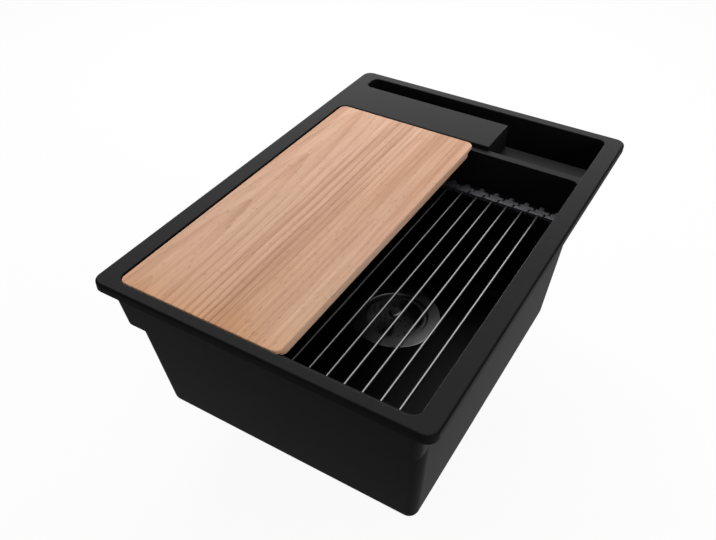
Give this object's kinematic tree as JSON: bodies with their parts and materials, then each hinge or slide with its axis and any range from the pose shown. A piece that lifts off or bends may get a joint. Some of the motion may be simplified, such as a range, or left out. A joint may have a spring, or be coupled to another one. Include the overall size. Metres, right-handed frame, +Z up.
{
  "type": "workstation kitchen sink",
  "caption": "Inset single-bowl workstation sink in granite composite with tap deck, caddy tray, sliding cutting board, roll-up drying rack, basket strainer waste and overflow.",
  "frame": {"origin": "centre of the plane in which the rim's underside rests on the worktop", "axes": "+X to the right along the short front edge, +Y from the front to the tap deck at the back, +Z up out of the worktop"},
  "size_m": [0.362, 0.52, 0.268],
  "materials": {
    "granite_composite": "matt moulded quartz composite with fine speckle",
    "seal_cord": "foam sealing cord",
    "board_wood": "oiled beech, straight grain",
    "rod_steel": "satin stainless steel",
    "silicone": "matt moulded silicone",
    "drain_steel": "brushed stainless steel",
    "seal_rubber": "moulded rubber",
    "fitting_plastic": "moulded polypropylene"
  },
  "bodies": {
    "sink": {"sink_body": "granite_composite", "rim_seal": "seal_cord", "strainer_flange": "drain_steel", "flange_seal": "seal_rubber", "waste_seal": "seal_rubber", "waste_body": "fitting_plastic", "clamp_screw": "drain_steel", "overflow_cover": "drain_steel", "overflow_screw": "drain_steel", "overflow_seal": "seal_rubber", "overflow_elbow": "fitting_plastic", "overflow_pipe": "fitting_plastic", "pipe_nut_upper": "fitting_plastic", "pipe_nut_lower": "fitting_plastic"},
    "board": {"cutting_board": "board_wood"},
    "rack": {"rack_rods": "rod_steel", "rack_front_links": "silicone", "rack_back_links": "silicone"},
    "roll_1": {"roll_rod_1": "rod_steel", "roll_front_link_1": "silicone", "roll_back_link_1": "silicone"},
    "roll_2": {"roll_rod_2": "rod_steel", "roll_front_link_2": "silicone", "roll_back_link_2": "silicone"},
    "roll_3": {"roll_rod_3": "rod_steel", "roll_front_link_3": "silicone", "roll_back_link_3": "silicone"},
    "roll_4": {"roll_rod_4": "rod_steel", "roll_front_link_4": "silicone", "roll_back_link_4": "silicone"},
    "basket": {"basket_cup": "drain_steel", "basket_plug": "seal_rubber", "basket_knob": "drain_steel"}
  },
  "joints": [
    {"name": "board_slide", "type": "slide", "parent": "sink", "child": "board", "axis": [1, 0, 0], "range_m": [0, 0.132]},
    {"name": "rack_slide", "type": "slide", "parent": "sink", "child": "rack", "axis": [1, 0, 0], "range_m": [-0.0084, 0.0017]},
    {"name": "rack_roll_1", "type": "hinge", "parent": "rack", "child": "roll_1", "pos_m": [0.07934, 0, -0.0385], "axis": [0, -1, 0], "range_deg": [0, 60]},
    {"name": "rack_roll_2", "type": "hinge", "parent": "roll_1", "child": "roll_2", "pos_m": [0.09834, 0, -0.0385], "axis": [0, -1, 0], "range_deg": [0, 60]},
    {"name": "rack_roll_3", "type": "hinge", "parent": "roll_2", "child": "roll_3", "pos_m": [0.11734, 0, -0.0385], "axis": [0, -1, 0], "range_deg": [0, 60]},
    {"name": "rack_roll_4", "type": "hinge", "parent": "roll_3", "child": "roll_4", "pos_m": [0.13634, 0, -0.0385], "axis": [0, -1, 0], "range_deg": [0, 60]},
    {"name": "basket_lift", "type": "slide", "parent": "sink", "child": "basket", "axis": [0, 0, 1], "range_m": [0, 0.11]}
  ],
  "couplings": [
    {"joint": "rack_roll_2", "follows": "rack_roll_1", "ratio": 1},
    {"joint": "rack_roll_3", "follows": "rack_roll_1", "ratio": 1},
    {"joint": "rack_roll_4", "follows": "rack_roll_1", "ratio": 1}
  ]
}
